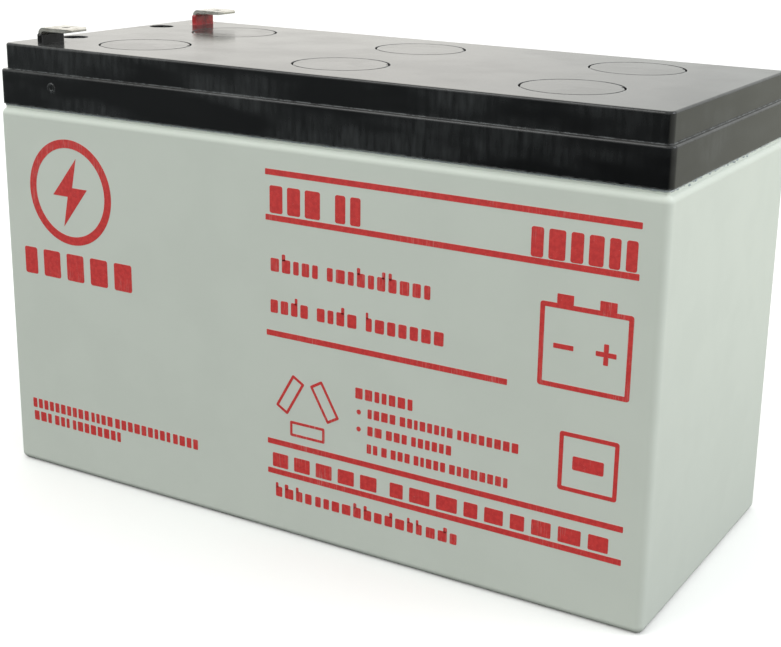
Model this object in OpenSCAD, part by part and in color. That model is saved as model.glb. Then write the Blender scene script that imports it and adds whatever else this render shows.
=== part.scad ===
// Sealed rechargeable battery, 12 V, six cells in two rows of three.
// Length runs along X with the terminals at the -X end, width along Y with the printed
// face at -Y, height along Z. The origin is the centre of the underside.

/* [Container] */
// Length of the case
case_l = 151; // [140:1:180]
// Width of the case
case_w = 65; // [58:1:90]
// Height of the straight outer wall, up to its rounded shoulder
shoulder_z = 79; // [74:0.5:100]
// Thickness of the outer wall
wall_t = 2.3; // [2:0.1:3]
// Thickness of the floor
floor_t = 2.6; // [1.5:0.1:4]
// Thickness of the partitions between cells
partition_t = 1.5; // [1:0.1:2.5]
// Radius of the upright corners, and of the rounding of the shoulder
corner_r = 1.5; // [1.3:0.1:3]
// Radius of the edges round the underside
foot_r = 1.5; // [0.5:0.1:2]
// How far the shoulder draws the wall in
shoulder_in = 0.8; // [0.4:0.1:1]
// Height of the plain neck between shoulder and lid
neck_h = 0.97; // [0.4:0.01:1.5]
// Height of the ribs that the plates stand on
rib_h = 1.2; // [0.6:0.1:2]

/* [Lid] */
// Height of the lower step of the lid
tier_h = 7.3; // [6:0.1:9]
// Height of the upper step of the lid
crown_h = 5.4; // [4.5:0.1:8]
// Inset of the lower step from the case
tier_in = 0.25; // [0.1:0.05:0.4]
// Inset of the upper step from the case
crown_in = 1.1; // [0.8:0.1:1.2]
// Radius of the top edges of both steps
lid_edge_r = 0.45; // [0.3:0.05:1]
// Thickness of the lid's top
lid_t = 2.2; // [1.8:0.1:3]
// Height of the tongue of the container inside the lid
tongue_h = 2.2; // [1:0.1:3]
// Thickness of the lid's inner lip beside the tongue
lip_t = 1; // [0.6:0.1:1.4]
// Thickness of the resin above the tongue
bond_t = 0.4; // [0.2:0.1:0.8]

/* [Vents] */
// Radius of a vent cover disc
disc_r = 9.4; // [8.5:0.1:10.2]
// Thickness of a vent cover disc
disc_t = 1.6; // [1:0.1:2]
// Gap round a vent cover disc
disc_gap = 0.3; // [0.1:0.05:0.6]
// Radius of the valve well under a disc
well_r = 7.4; // [6.6:0.1:7.8]
// Depth of the valve well below the lid's top
well_d = 7.4; // [6.5:0.1:8.5]
// Outer radius of the vent neck
vent_r = 3; // [2.4:0.1:3.5]
// Radius of the bore in the vent neck
vent_bore_r = 1.6; // [1:0.1:2]
// Radius of the rubber valve cap
cap_r = 4.4; // [4:0.1:5]
// Thickness of the top of the rubber valve cap
cap_t = 1.8; // [1:0.1:2.2]
// Direction of the gas notch in each disc
notch_angle = 30; // [0:5:90]

/* [Terminals] */
// Distance of the terminals from the end of the case
tab_from_end = 9; // [7.5:0.5:12]
// Distance of the terminals from the long sides of the case
tab_from_side = 7; // [7:0.5:10]
// Width of a terminal tab
tab_w = 6.35; // [4.75:0.05:6.5]
// Thickness of a terminal tab
tab_t = 0.8; // [0.5:0.1:1]
// Length of a terminal tab, from the leg's outer face to the tip
tab_l = 8.5; // [7:0.1:10]
// Height of a terminal tab above the lid
tab_rise = 3.5; // [3.2:0.1:6]
// Radius inside the bend of a terminal tab
tab_bend_r = 0.6; // [0.3:0.1:0.8]
// Radius of the hole in a terminal tab
tab_hole_r = 0.9; // [0.6:0.1:1.2]
// Distance of the hole from the tip of a terminal tab
tab_hole_from_tip = 3.6; // [3:0.1:4.5]
// Width of a terminal seal
seal_w = 7.2; // [7:0.1:8]
// Length of a terminal seal
seal_l = 4.2; // [3.8:0.1:5]
// Height of a terminal seal above the lid
seal_rise = 2; // [1:0.1:2]
// Thickness of the resin round the leg of a tab, above the lid
collar_t = 0.3; // [0.2:0.05:0.4]
// Depth of a terminal seal below the lid's top
seal_d = 7; // [5:0.1:8]
// Radius of the lead posts
post_r = 1.8; // [1.2:0.1:1.8]

/* [Cells] */
// Number of positive plates in a cell
positive_plates = 4; // [2:1:4]
// Thickness of a positive plate
positive_t = 3.2; // [2:0.1:3.4]
// Thickness of a negative plate
negative_t = 2; // [1.4:0.1:2.2]
// Clearance between a cell's plates and its side walls
stack_gap = 0.3; // [0.2:0.1:1]
// Clearance between a plate's edge and the ends of its cell
plate_end_gap = 1.6; // [1.4:0.1:4]
// Height left free between the plates and the top of the straight wall
head_h = 16.4; // [15.6:0.1:24]
// Thickness of a cast strap
strap_t = 4; // [3:0.5:4.5]
// Radius of the weld through a partition
link_r = 3.2; // [2:0.1:3.4]

/* [Print] */
// Thickness of the printed ink
ink_t = 0.04; // [0.02:0.01:0.1]
// Thickness of the long red rules
rule_w = 1.2; // [0.6:0.1:2]
// Length of the printed panel beside the emblem
panel_l = 78; // [70:1:80]
// Distance of the print from the ends of the case
print_end = 4.7; // [4:0.1:6]

/* [Hidden] */
$fn = 64;
eps = 0.01;
// How far a cut runs on past a face
past = 1;
CELLS = [1, 2, 3, 4, 5, 6];
LINKS = [1, 2, 3, 4, 5];

// Heights of the steps up the outside. The shoulder rises to where its arc meets the neck.
shoulder_h = sqrt(pow(corner_r, 2) - pow(corner_r - shoulder_in, 2));
neck_z = shoulder_z + shoulder_h;
lid_z = neck_z + neck_h;
tier_z = lid_z + tier_h;
lid_top = tier_z + crown_h;
tongue_z = lid_z + tongue_h;
foot_edge_r = min(foot_r, corner_r);
bond_z = tongue_z + bond_t;
ceiling_z = lid_top - lid_t;

// The joint between container and lid
joint_gap = 0.05;
tongue_back = 0.3;
tongue_in = shoulder_in + tongue_back;

// Cells: three along X and two along Y, numbered along the chain from the positive end
cell_r = 1;
cell_l = (case_l - 2 * wall_t - 2 * partition_t) / 3;
cell_w = (case_w - 2 * wall_t - partition_t) / 2;
column_pitch = cell_l + partition_t;
row_y = (cell_w + partition_t) / 2;
function column(n) = n <= 3 ? n - 2 : 5 - n;
function side(n) = n <= 3 ? 1 : -1;
function cell_x(n) = column(n) * column_pitch;
function cell_y(n) = side(n) * row_y;
// Which end of the cell its positive strap is at: towards the terminals, or away from them
function positive_end(n) = n <= 3 ? -1 : 1;

// Plates stand in the mats' folds, and the mats fill what the plates leave of the cell
negative_plates = positive_plates + 1;
mat_t = (cell_w - 2 * stack_gap - positive_plates * positive_t
    - negative_plates * negative_t) / (2 * positive_plates);
plate_l = cell_l - 2 * plate_end_gap;
rib_z = floor_t + rib_h;
rib_t = 1.5;
rib_root = 0.2;
plate_z = rib_z + mat_t;
plate_top = shoulder_z - head_h;
mat_over = 0.9;
mat_top = plate_top + mat_over;
plate_pitch = positive_t + negative_t + 2 * mat_t;
function positive_plate_y(i) = (i - (positive_plates - 1) / 2) * plate_pitch;
function negative_plate_y(i) = (i - (negative_plates - 1) / 2) * plate_pitch;

// Straps, their lugs and the pads that face each other through a partition
lug_w = 8;
lug_h = 4.8;
lug_from_end = 7.5;
lug_x = plate_l / 2 - lug_from_end;
strap_z = plate_top + lug_h;
strap_top = strap_z + strap_t;
strap_side_gap = 0.5;
strap_edge = 0.7;
link_gap = 0.05;
pad_t = 3;
pad_side = 2;
pad_edge = 0.8;
link_z = strap_top + pad_edge + link_r;
pad_w = 2 * (link_r + pad_side);
pad_top = link_z + link_r + pad_edge;

// Terminals stand on the posts, inside their seals
post_x = -(case_l / 2 - tab_from_end);
post_y = case_w / 2 - tab_from_side;
post_gap = 0.1;
tab_top = lid_top + tab_rise;
seal_z = lid_top - seal_d;
seal_r = 1.8;
collar_r = 0.5;
collar_edge_r = 0.15;
post_rise = 1;
post_top = seal_z + post_rise;
tower_t = 1.5;
tip_in = 1;
tip_thin = 0.2;

// Vent wells
cup_t = 1.5;
rim_t = 1.2;
rim_h = 1.6;
disc_z = lid_top - disc_t;
well_z = lid_top - well_d;
neck_top = disc_z - cap_t;
cap_gap = 0.05;
cap_lift = 0.6;
spigot_t = 1;
spigot_h = 0.8;
spigot_gap = 0.2;
disc_edge = 0.2;
notch_w = 1.2;
notch_d = 0.8;
channel_from = vent_r + 2;

// Polarity marks
mark_r = 2.8;
mark_d = 0.7;
mark_h = 0.4;
mark_l = 3.8;
mark_w = 0.9;
mark_from_post = [3.5, 11];
mark_x = post_x - mark_from_post.x;
mark_y = post_y - mark_from_post.y;

// A moulded ring on the lid's printed side
pip_r = 1;
pip_h = 0.15;
pip_root = 0.2;
pip_from_end = 15;
pip_z = lid_z + 0.6 * tier_h;

// Print. Rows give the start from the panel's left edge, the height above the underside,
// the height of the letters and the lengths of the words.
panel_x = case_l / 2 - print_end - panel_l;
left_x = print_end - case_l / 2;
word_gap = 1;
rule_from_top = [4.9, 13.2];
rule_z = [19.5, 12.8];
short_rule = [53, 41.9];
heading_z = shoulder_z - 10.9;
PANEL_ROWS = [
    [0.7, heading_z, 3.6, [7, 14]],
    [57, heading_z, 3.6, [9, 10]],
    [0.7, 56.4, 2.6, [12, 22]],
    [0.7, 48.2, 2.6, [10, 9, 17]],
    [21, 33.4, 1.6, [14]],
    [22, 29.8, 1.1, [9, 6, 11, 6]],
    [22, 26.4, 1.1, [7, 12, 5, 8]],
    [22, 23, 1.1, [11, 8, 9]],
    [1.5, 15.4, 1.9, [14, 13, 9, 17, 14]],
    [2, 8.2, 1.9, [20, 12]],
];
LEFT_ROWS = [
    [0, 46, 3.6, [30]],
    [0, 13.4, 1.3, [13, 9, 12, 8]],
    [0, 10.3, 1.3, [8, 14]],
];
emblem_r = 10;
emblem_t = 1.8;
emblem_from_left = 14.3;
emblem_x = left_x + emblem_from_left;
emblem_z = shoulder_z - emblem_r - rule_from_top[0];
triangle_r = 9;
triangle_t = 1.6;
triangle_at = [10, 27.5];
battery_size = [17, 12.5];
battery_t = 1;
battery_at = [60, 46];
frame_size = [11, 10.5];
frame_t = 0.9;
frame_at = [65, 25];
window_size = [6, 2.6];
window_at = [2.5, 4];

// Plain shapes

// A rectangle centred on the origin, with round corners
module round_rect(l, w, r) {
    square([l - 2 * r, w], center = true);
    square([l, w - 2 * r], center = true);
    for (x = [-1, 1], y = [-1, 1]) {
        translate([x * (l / 2 - r), y * (w / 2 - r)]) circle(r);
    }
}

// Half a block's side view, from its middle out to a face, with the top outer corner rounded
module half_side(reach, h, r) {
    intersection() {
        square([reach, h]);
        union() {
            square([reach, h - r]);
            square([max(reach - r, eps), h]);
            translate([reach - r, h - r]) circle(r);
        }
    }
}

// Half the shoulder's side view: an arc that leaves the wall upright and draws it in
module half_shoulder(reach) {
    intersection() {
        square([reach, shoulder_h]);
        union() {
            square([max(reach - corner_r, eps), shoulder_h]);
            translate([reach - corner_r, 0]) circle(corner_r);
        }
    }
}

// A block on the XY plane with round upright corners. Its child is half its side view, drawn
// out to $reach. The sides are straight runs of it, and the corners are turned from it.
module moulded_block(l, w, r) {
    rotate([90, 0, 90])
        linear_extrude(l - 2 * r, center = true)
            for (half = [0, 1]) mirror([half, 0]) let($reach = w / 2) children();
    rotate([90, 0, 0])
        linear_extrude(w - 2 * r, center = true)
            for (half = [0, 1]) mirror([half, 0]) let($reach = l / 2) children();
    for (x = [-1, 1], y = [-1, 1]) {
        translate([x * (l / 2 - r), y * (w / 2 - r)])
            rotate_extrude() let($reach = r) children();
    }
}

// The cells' plan, each side moved inward by a given amount
module cells_plan(inward) {
    for (n = CELLS) {
        translate([cell_x(n), cell_y(n)])
            round_rect(cell_l - 2 * inward, cell_w - 2 * inward, cell_r);
    }
}

// The plan of the tongue: the thin outer wall and the partitions, grown by a clearance
module tongue_plan(clearance) {
    inset = tongue_in - clearance;
    difference() {
        round_rect(case_l - 2 * inset, case_w - 2 * inset, corner_r - shoulder_in);
        cells_plan(clearance);
    }
}

// Container

// Half the outer wall's side view, from its rounded foot to the top of the shoulder
module half_wall(reach) {
    translate([0, shoulder_z]) {
        mirror([0, 1]) half_side(reach, shoulder_z, foot_edge_r);
        half_shoulder(reach);
    }
}

module container_form() {
    moulded_block(case_l, case_w, corner_r) half_wall($reach);
    translate([0, 0, neck_z])
        linear_extrude(neck_h)
            round_rect(case_l - 2 * shoulder_in, case_w - 2 * shoulder_in, corner_r - shoulder_in);
    translate([0, 0, lid_z])
        linear_extrude(tongue_h)
            round_rect(case_l - 2 * tongue_in, case_w - 2 * tongue_in, corner_r - shoulder_in);
}

// Two low ribs across the floor of each cell
module floor_ribs(n) {
    for (x = [-1, 1]) {
        translate([cell_x(n) + x * plate_l / 4, cell_y(n), floor_t + (rib_h - rib_root) / 2])
            cube([rib_t, cell_w + rib_root, rib_h + rib_root], center = true);
    }
}

// A weld's place: its middle, and its axis along X or, at the turn of the chain, along Y
module at_link(n) {
    if (n == 3) {
        translate([cell_x(3) + lug_x, 0, link_z]) rotate([90, 0, 0]) children();
    } else {
        translate([(cell_x(n) + cell_x(n + 1)) / 2, cell_y(n), link_z])
            rotate([0, 90, 0]) children();
    }
}

module container() {
    color([0.74, 0.76, 0.74]) {
        difference() {
            container_form();
            translate([0, 0, floor_t]) linear_extrude(tongue_z) cells_plan(0);
            for (n = LINKS) {
                at_link(n) cylinder(r = link_r + link_gap, h = partition_t + past, center = true);
            }
        }
        for (n = CELLS) floor_ribs(n);
    }
}

// Lid

module lid_form() {
    translate([0, 0, lid_z])
        moulded_block(case_l - 2 * tier_in, case_w - 2 * tier_in, corner_r)
            half_side($reach, tier_h, lid_edge_r);
    translate([0, 0, tier_z - lid_edge_r])
        moulded_block(case_l - 2 * crown_in, case_w - 2 * crown_in, corner_r)
            half_side($reach, crown_h + lid_edge_r, lid_edge_r);
}

// What is scooped out of the lid from below
module lid_hollow() {
    translate([0, 0, lid_z - eps]) linear_extrude(bond_z - lid_z + eps) tongue_plan(joint_gap);
    translate([0, 0, lid_z - eps])
        linear_extrude(ceiling_z - lid_z + eps) cells_plan(joint_gap + lip_t);
}

// The cup under a disc, before its well is cut
module valve_cup() {
    translate([0, 0, well_z - cup_t])
        cylinder(r = well_r + cup_t, h = lid_top - well_z + cup_t - lid_t / 2);
    translate([0, 0, disc_z - rim_h])
        cylinder(r = disc_r + disc_gap + rim_t, h = rim_h + disc_t / 2);
}

// The disc's seat, the well round the vent neck, the neck's bore and the gas channel
module valve_cuts() {
    translate([0, 0, disc_z]) cylinder(r = disc_r + disc_gap, h = disc_t + past);
    difference() {
        translate([0, 0, well_z]) cylinder(r = well_r, h = well_d + past);
        translate([0, 0, well_z - eps]) cylinder(r = vent_r, h = neck_top - well_z + eps);
    }
    translate([0, 0, well_z - cup_t - past])
        cylinder(r = vent_bore_r, h = well_d + cup_t + 2 * past);
    rotate([0, 0, notch_angle])
        translate([channel_from, -notch_w / 2, disc_z - notch_d])
            cube([disc_r - channel_from, notch_w, notch_d + eps]);
}

// A terminal's place on the lid, with side 1 at +Y and -1 at -Y
module at_terminal(s) {
    translate([post_x, s * post_y, 0]) children();
}

module terminal_tower() {
    translate([0, 0, seal_z - tower_t])
        linear_extrude(lid_top - seal_z + tower_t - lid_t / 2)
            round_rect(seal_l + 2 * tower_t, seal_w + 2 * tower_t, seal_r + tower_t);
}

module terminal_cuts() {
    translate([0, 0, seal_z]) linear_extrude(seal_d + past) round_rect(seal_l, seal_w, seal_r);
    translate([0, 0, seal_z - tower_t - past])
        cylinder(r = post_r + post_gap, h = tower_t + 2 * past);
}

// A round dimple with a raised bar, or a raised cross at the positive terminal
module polarity_mark(s) {
    translate([mark_x, s * mark_y, lid_top - mark_d]) {
        difference() {
            cylinder(r = mark_r, h = mark_d + past);
            translate([-mark_w / 2, -mark_l / 2, -eps]) cube([mark_w, mark_l, mark_h + eps]);
            if (s > 0) {
                translate([-mark_l / 2, -mark_w / 2, -eps]) cube([mark_l, mark_w, mark_h + eps]);
            }
        }
    }
}

// The small raised ring on the lower step, at the printed side
module moulded_ring() {
    face_y = -case_w / 2 + tier_in;
    translate([-case_l / 2 + pip_from_end, face_y, pip_z])
        rotate([90, 0, 0])
            difference() {
                translate([0, 0, -pip_root]) cylinder(r = pip_r, h = pip_h + pip_root);
                cylinder(r = pip_r / 2, h = pip_h + past);
            }
}

module lid() {
    color([0.09, 0.09, 0.1]) {
        difference() {
            union() {
                difference() {
                    lid_form();
                    lid_hollow();
                }
                for (n = CELLS) {
                    translate([cell_x(n), cell_y(n), 0]) valve_cup();
                }
                for (s = [-1, 1]) at_terminal(s) terminal_tower();
                moulded_ring();
            }
            for (n = CELLS) {
                translate([cell_x(n), cell_y(n), 0]) valve_cuts();
            }
            for (s = [-1, 1]) {
                at_terminal(s) terminal_cuts();
                polarity_mark(s);
            }
        }
    }
}

// The resin line between tongue and lid
module lid_bond() {
    color([0.55, 0.5, 0.36])
        translate([0, 0, tongue_z]) linear_extrude(bond_t) tongue_plan(0);
}

// Vents

// A flush disc with a locating ring below it and a notch for the gas
module vent_cover(n) {
    color([0.12, 0.12, 0.13])
        translate([cell_x(n), cell_y(n), disc_z])
            difference() {
                union() {
                    rotate_extrude() polygon([
                        [0, 0],
                        [disc_r, 0],
                        [disc_r, disc_t - disc_edge],
                        [disc_r - disc_edge, disc_t],
                        [0, disc_t],
                    ]);
                    translate([0, 0, -spigot_h])
                        difference() {
                            cylinder(r = well_r - spigot_gap, h = spigot_h + eps);
                            translate([0, 0, -1])
                                cylinder(r = well_r - spigot_gap - spigot_t, h = spigot_h + past);
                        }
                }
                rotate([0, 0, notch_angle])
                    translate([disc_r, 0, -past]) cylinder(r = notch_w / 2, h = disc_t + 2 * past);
            }
}

// A rubber cap over the vent neck, held down by the disc
module valve_cap(n) {
    cap_z = well_z + cap_lift;
    color([0.2, 0.2, 0.22])
        translate([cell_x(n), cell_y(n), 0])
            difference() {
                translate([0, 0, cap_z]) cylinder(r = cap_r, h = disc_z - cap_z);
                translate([0, 0, cap_z - 1])
                    cylinder(r = vent_r + cap_gap, h = neck_top - cap_z + past);
            }
}

// Plate groups

module plate(y, t, foot_z) {
    translate([-plate_l / 2, y - t / 2, foot_z]) cube([plate_l, t, plate_top - foot_z]);
}

// A plate's lug, up into the strap at one end of the cell
module lug(y, t, end) {
    translate([end * lug_x - lug_w / 2, y - t / 2, plate_top - eps])
        cube([lug_w, t, strap_z - plate_top + strap_t / 2]);
}

// A cast bar along a cell's end, from the lugs' inner edge out under the pad
module strap(end) {
    inner = lug_x - lug_w / 2 - strap_edge;
    reach = (cell_l - pad_t) / 2;
    width = cell_w - 2 * strap_side_gap;
    translate([end > 0 ? inner : -reach, -width / 2, strap_z])
        cube([reach - inner, width, strap_t]);
}

// The upright pad of a strap, against the partition at the cell's end or its inner side
module end_pad(end) {
    translate([end > 0 ? cell_l / 2 - pad_t : -cell_l / 2, -pad_w / 2, strap_z])
        cube([pad_t, pad_w, pad_top - strap_z]);
}

module side_pad(end, toward) {
    translate([end * lug_x - pad_w / 2, toward > 0 ? cell_w / 2 - pad_t : -cell_w / 2, strap_z])
        cube([pad_w, pad_t, pad_top - strap_z]);
}

// One polarity's plates in one cell. Links join the negative group of each cell to the
// positive group of the next, and the two groups that are left carry the posts.
module group(n, plates, t, foot_z, end, linked) {
    turn = (n == 3 || n == 4) && end > 0;
    translate([cell_x(n), cell_y(n), 0]) {
        for (y = plates) {
            plate(y, t, foot_z);
            lug(y, t, end);
        }
        strap(end);
        if (linked && !turn) end_pad(end);
        if (linked && turn) side_pad(end, -side(n));
    }
}

module positive_group(n) {
    plates = [for (i = [0 : positive_plates - 1]) positive_plate_y(i)];
    color([0.42, 0.3, 0.24])
        group(n, plates, positive_t, plate_z, positive_end(n), n > 1);
}

module negative_group(n) {
    plates = [for (i = [0 : negative_plates - 1]) negative_plate_y(i)];
    color([0.5, 0.52, 0.54])
        group(n, plates, negative_t, rib_z, -positive_end(n), n < 6);
}

// A glass mat folded under each positive plate
module separator(n) {
    mat_l = plate_l + 2 * mat_over;
    color([0.92, 0.92, 0.9])
        translate([cell_x(n), cell_y(n), 0])
            for (i = [0 : positive_plates - 1]) {
                difference() {
                    translate([-mat_l / 2, positive_plate_y(i) - positive_t / 2 - mat_t, rib_z])
                        cube([mat_l, positive_t + 2 * mat_t, mat_top - rib_z]);
                    translate([-mat_l / 2 - past, positive_plate_y(i) - positive_t / 2, plate_z])
                        cube([mat_l + 2 * past, positive_t, mat_top]);
                }
            }
}

module cell_link(n) {
    color([0.6, 0.61, 0.63])
        at_link(n) cylinder(r = link_r, h = partition_t, center = true);
}

// Terminals

module lead_post(s) {
    color([0.58, 0.59, 0.61])
        at_terminal(s)
            translate([0, 0, strap_top]) cylinder(r = post_r, h = post_top - strap_top);
}

// The tab's side view: a leg, a bend and a flat blade with a thinned tip
module tab_outline() {
    bend_r = tab_bend_r + tab_t;
    bend_x = bend_r - tab_t / 2;
    tip_x = tab_l - tab_t / 2;
    translate([-tab_t / 2, post_top]) square([tab_t, tab_top - bend_r - post_top]);
    intersection() {
        translate([bend_x, tab_top - bend_r])
            difference() {
                circle(bend_r);
                circle(tab_bend_r);
            }
        translate([-tab_t / 2, tab_top - bend_r]) square([bend_r, bend_r]);
    }
    polygon([
        [bend_x, tab_top],
        [bend_x, tab_top - tab_t],
        [tip_x - tip_in, tab_top - tab_t],
        [tip_x, tab_top - tab_t + tip_thin],
        [tip_x, tab_top - tip_thin],
        [tip_x - tip_in, tab_top],
    ]);
}

module terminal_tab(s) {
    tip_x = tab_l - tab_t / 2;
    color([0.86, 0.86, 0.84])
        at_terminal(s)
            difference() {
                rotate([90, 0, 0]) linear_extrude(tab_w, center = true) tab_outline();
                translate([tip_x - tab_hole_from_tip, 0, tab_top - tab_t - past])
                    cylinder(r = tab_hole_r, h = tab_t + 2 * past);
                for (y = [-1, 1]) {
                    translate([tip_x, y * tab_w / 2, tab_top - tab_t - past])
                        rotate([0, 0, 45])
                            cube([tip_in * sqrt(2), tip_in * sqrt(2), 6 * tab_t], center = true);
                }
            }
}

// Resin cast flush into its pocket round the head of the post, with a thin collar up the tab's leg
module terminal_seal(s) {
    at_terminal(s)
        difference() {
            union() {
                translate([0, 0, seal_z]) linear_extrude(seal_d) round_rect(seal_l, seal_w, seal_r);
                translate([0, 0, lid_top - eps])
                    moulded_block(tab_t + 2 * collar_t, tab_w + 2 * collar_t, collar_r)
                        half_side($reach, seal_rise + eps, collar_edge_r);
            }
            translate([-tab_t / 2, -tab_w / 2, post_top]) cube([tab_t, tab_w, seal_d + seal_rise]);
            translate([0, 0, seal_z - past]) cylinder(r = post_r, h = post_top - seal_z + past);
        }
}

// Print on the front, as bars and plain shapes of ink

// Ink with its lower left corner at x and at height z
module ink_at(x, z) {
    translate([x, -case_w / 2, z]) rotate([90, 0, 0]) linear_extrude(ink_t) children();
}

// The start of word i in a line of words of the given lengths
function word_x(words, i) = i == 0 ? 0 : word_x(words, i - 1) + words[i - 1] + word_gap;

// Rows of print, as one bar for each word
module print_rows(rows, x) {
    for (row = rows) {
        words = row[3];
        for (i = [0 : len(words) - 1]) {
            ink_at(x + row[0] + word_x(words, i), row[1]) square([words[i], row[2]]);
        }
    }
}

module frame_outline(l, h, t) {
    difference() {
        square([l, h]);
        translate([t, t]) square([l - 2 * t, h - 2 * t]);
    }
}

// Three bars set as a triangle, with gaps at its corners
module triangle_sign(r, t) {
    for (a = [30, 150, 270]) {
        rotate(a) translate([r / 2, 0]) square([t, 1.1 * r], center = true);
    }
}

// A small outline of a battery with its two terminals, a minus and a plus
module battery_sign(l, h, t) {
    frame_outline(l, h, t);
    for (x = [0.18, 0.64]) translate([x * l, h]) square([0.18 * l, 0.1 * l]);
    translate([0.16 * l, (h - t) / 2]) square([0.22 * l, t]);
    translate([0.62 * l, (h - t) / 2]) square([0.22 * l, t]);
    translate([0.73 * l - t / 2, h / 2 - 0.11 * l]) square([t, 0.22 * l]);
}

// A plain ring with a zigzag bolt in it
module bolt_emblem(r, t) {
    difference() {
        circle(r);
        circle(r - t);
    }
    polygon([
        [0.18 * r, 0.66 * r],
        [-0.42 * r, -0.08 * r],
        [-0.06 * r, -0.08 * r],
        [-0.18 * r, -0.66 * r],
        [0.42 * r, 0.1 * r],
        [0.06 * r, 0.1 * r],
    ]);
}

module long_rules() {
    for (z = concat([for (down = rule_from_top) shoulder_z - down], rule_z)) {
        ink_at(panel_x, z) square([panel_l, rule_w]);
    }
    ink_at(panel_x, short_rule[1]) square([short_rule[0], rule_w]);
}

module front_print() {
    color([0.69, 0.23, 0.24]) {
        long_rules();
        print_rows(PANEL_ROWS, panel_x);
        print_rows(LEFT_ROWS, left_x);
        ink_at(panel_x + triangle_at.x, triangle_at.y) triangle_sign(triangle_r, triangle_t);
        ink_at(panel_x + battery_at.x, battery_at.y)
            battery_sign(battery_size.x, battery_size.y, battery_t);
        ink_at(panel_x + frame_at.x, frame_at.y) {
            frame_outline(frame_size.x, frame_size.y, frame_t);
            translate(window_at) square(window_size);
        }
        ink_at(emblem_x, emblem_z) bolt_emblem(emblem_r, emblem_t);
    }
}

container();
lid();
lid_bond();
for (n = CELLS) vent_cover(n);
for (n = CELLS) valve_cap(n);
for (n = CELLS) positive_group(n);
for (n = CELLS) negative_group(n);
for (n = CELLS) separator(n);
for (n = LINKS) cell_link(n);
lead_post(1);  // positive_post
lead_post(-1);  // negative_post
terminal_tab(1);  // positive_tab
terminal_tab(-1);  // negative_tab
color([0.72, 0.12, 0.1]) terminal_seal(1);  // positive_seal
color([0.06, 0.06, 0.07]) terminal_seal(-1);  // negative_seal
front_print();
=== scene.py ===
"""Dresses a sealed six-cell battery: finishes, front print, sealant, floor, light and camera."""

import logging
import math
import random
from dataclasses import dataclass, field
from enum import Enum
from typing import Callable, Iterable, Optional, Sequence, Union

import bmesh
import bpy
from mathutils import Matrix, Vector


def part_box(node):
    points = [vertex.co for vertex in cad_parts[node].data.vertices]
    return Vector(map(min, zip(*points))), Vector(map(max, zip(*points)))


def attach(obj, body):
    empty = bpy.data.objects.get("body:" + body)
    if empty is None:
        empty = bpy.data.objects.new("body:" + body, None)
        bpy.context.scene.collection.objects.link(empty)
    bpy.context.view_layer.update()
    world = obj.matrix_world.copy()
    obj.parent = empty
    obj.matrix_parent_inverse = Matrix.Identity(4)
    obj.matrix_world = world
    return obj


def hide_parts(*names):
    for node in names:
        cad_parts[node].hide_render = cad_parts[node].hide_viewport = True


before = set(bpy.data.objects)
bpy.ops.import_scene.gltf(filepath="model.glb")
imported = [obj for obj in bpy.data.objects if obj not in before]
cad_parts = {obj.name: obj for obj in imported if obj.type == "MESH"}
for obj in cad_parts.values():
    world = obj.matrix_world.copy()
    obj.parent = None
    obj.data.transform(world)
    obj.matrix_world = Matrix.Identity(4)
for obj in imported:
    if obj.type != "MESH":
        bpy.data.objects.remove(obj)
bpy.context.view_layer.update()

log = logging.getLogger("battery")

MM = 0.001
BODY = "root"
PHOTO_W = 781
PHOTO_H = 647
CORNER_STEPS = 3

Colour = tuple[float, float, float, float]
Point2 = tuple[float, float]
Socket = bpy.types.NodeSocket
Source = Union[Socket, float, Colour]
Sockets = dict[str, Socket]


def screen(red: int, green: int, blue: int) -> Colour:
    """Turns a colour as a screen shows it into a linear one.

    Args:
        red: Red from 0 to 255.
        green: Green from 0 to 255.
        blue: Blue from 0 to 255.

    Returns:
        The linear colour with full alpha.
    """

    def linear(value: int) -> float:
        """Undoes the screen's gamma for one channel."""
        share = value / 255
        return share / 12.92 if share <= 0.04045 else ((share + 0.055) / 1.055) ** 2.4

    return (linear(red), linear(green), linear(blue), 1.0)


# Shader trees


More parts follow.
